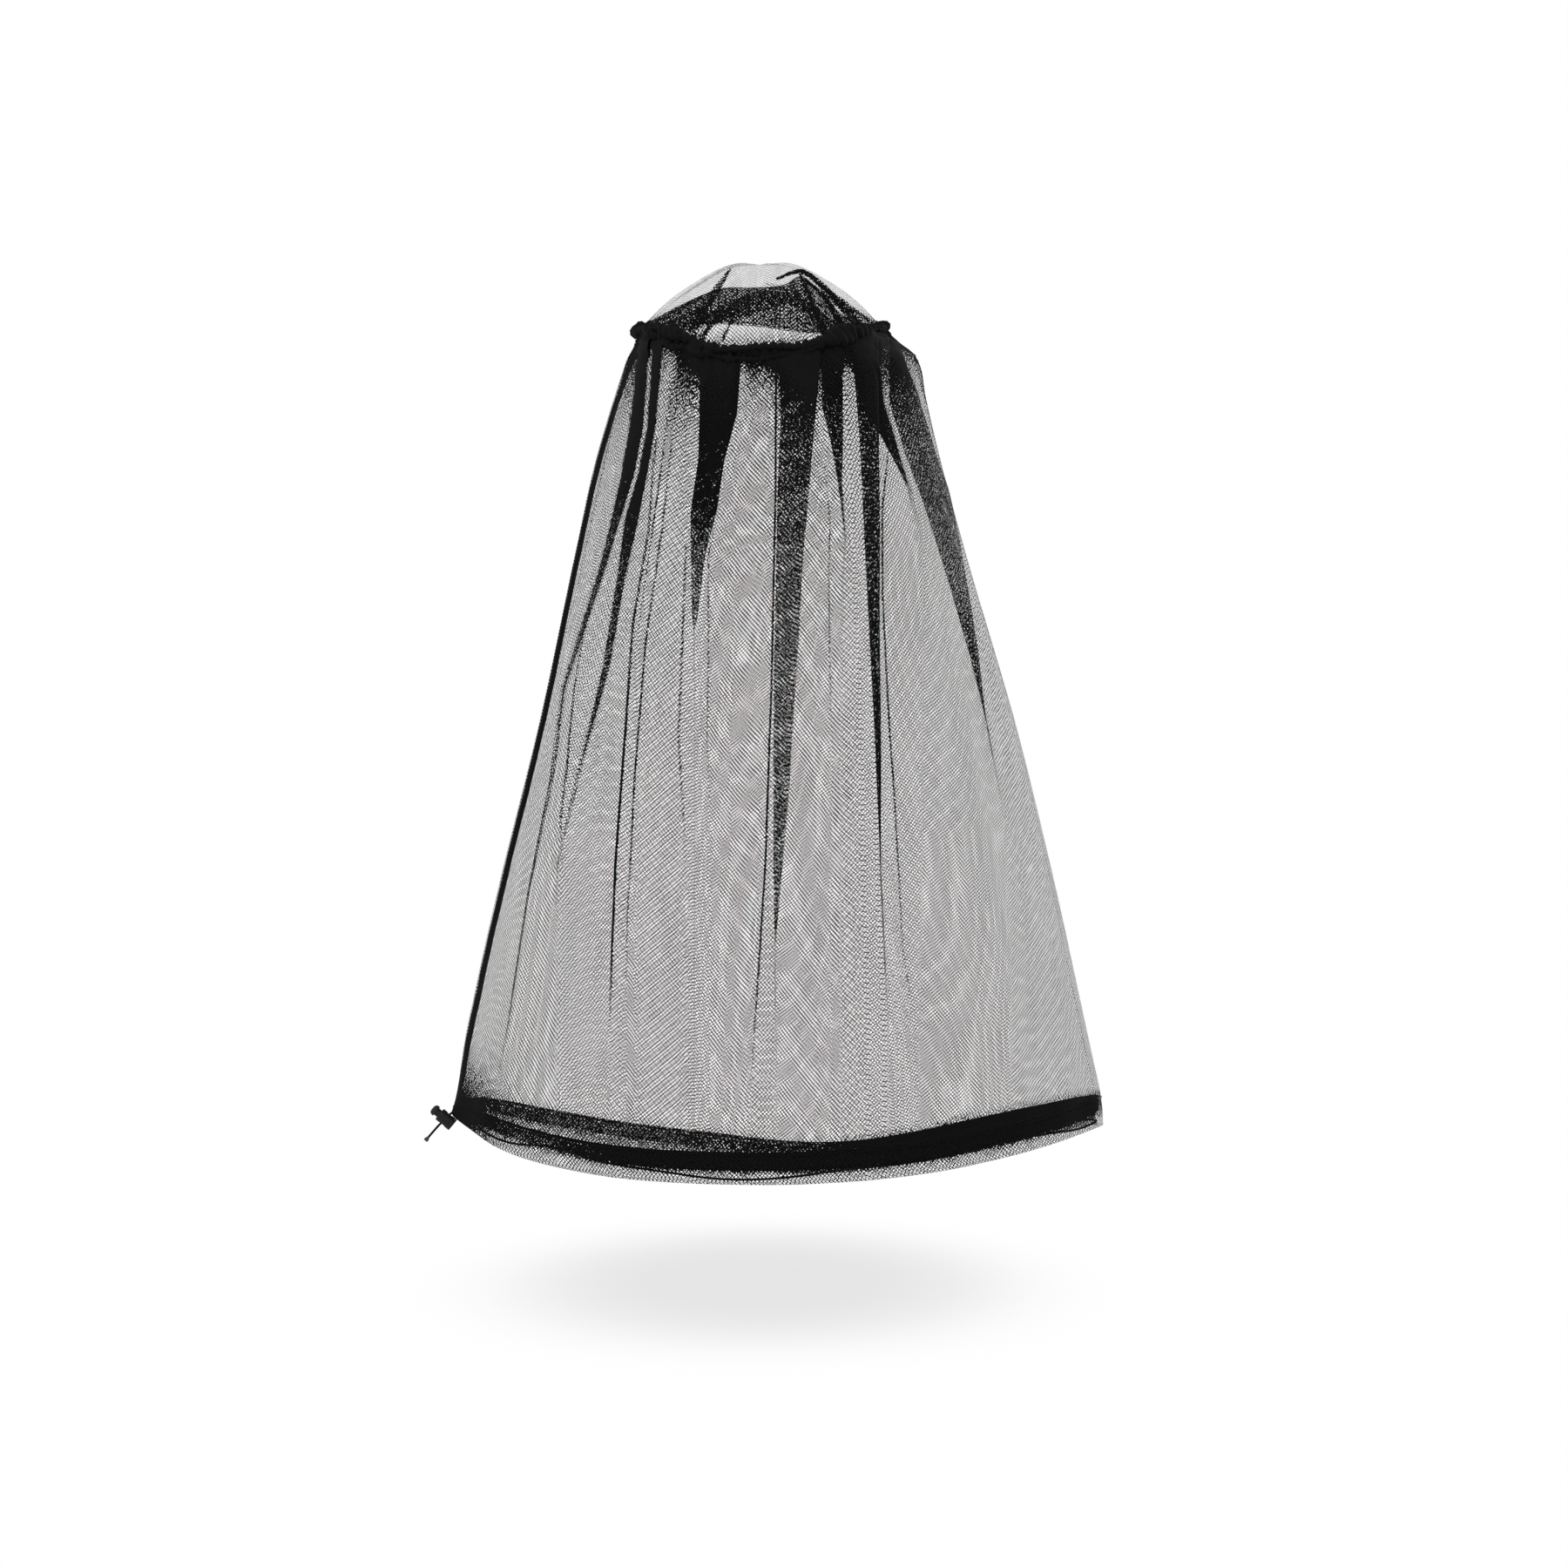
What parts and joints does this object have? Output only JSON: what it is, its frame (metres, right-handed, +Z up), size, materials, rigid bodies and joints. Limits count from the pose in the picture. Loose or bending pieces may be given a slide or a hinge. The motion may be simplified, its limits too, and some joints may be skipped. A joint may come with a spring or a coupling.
{
  "type": "beekeeping veil",
  "caption": "Fine black net veil with a domed crown, elastic head ring, flared skirt and a drawcord hem closed by a spring cord lock.",
  "frame": {"origin": "centre of the elastic ring, level with its two side ends, where a hat or a head fills it", "axes": "+Z up, the face looks along -Y, +X towards the wearer's left"},
  "size_m": [0.5212, 0.3008, 0.7028],
  "materials": {
    "net": "fine black mesh",
    "elastic": "braided cover over rubber",
    "thread": "spun thread",
    "tape": "woven binding",
    "cord": "braided cord",
    "cord_tip": "melted cord end",
    "lock_plastic": "moulded, satin",
    "plunger_plastic": "moulded, satin",
    "spring_steel": "drawn wire"
  },
  "bodies": {
    "veil": {"crown_net": "net", "crown_channel": "net", "crown_elastic": "elastic", "elastic_join_stitching": "thread", "crown_thread": "thread", "skirt_net": "net", "side_seam_binding": "tape", "side_seam_thread": "thread", "hem_facing": "net", "hem_needle_thread": "thread", "hem_bobbin_thread": "thread", "exit_bartack_front": "thread", "exit_bartack_back": "thread", "drawcord": "cord", "cord_tip_front": "cord_tip", "cord_tip_back": "cord_tip"},
    "cord_lock": {"cord_lock_barrel": "lock_plastic", "cord_lock_spring": "spring_steel"},
    "plunger": {"cord_lock_plunger": "plunger_plastic"}
  },
  "joints": [
    {"name": "cord_lock_slide", "type": "slide", "parent": "veil", "child": "cord_lock", "axis": [-0.6428, 0, -0.766], "range_m": [0, 0.012]},
    {"name": "plunger_press", "type": "slide", "parent": "cord_lock", "child": "plunger", "axis": [0.766, 0, -0.6428], "range_m": [0, 0.0026], "stiffness_N_per_m": 900, "springref_m": -0.003, "deforming": ["cord_lock_spring"]}
  ]
}
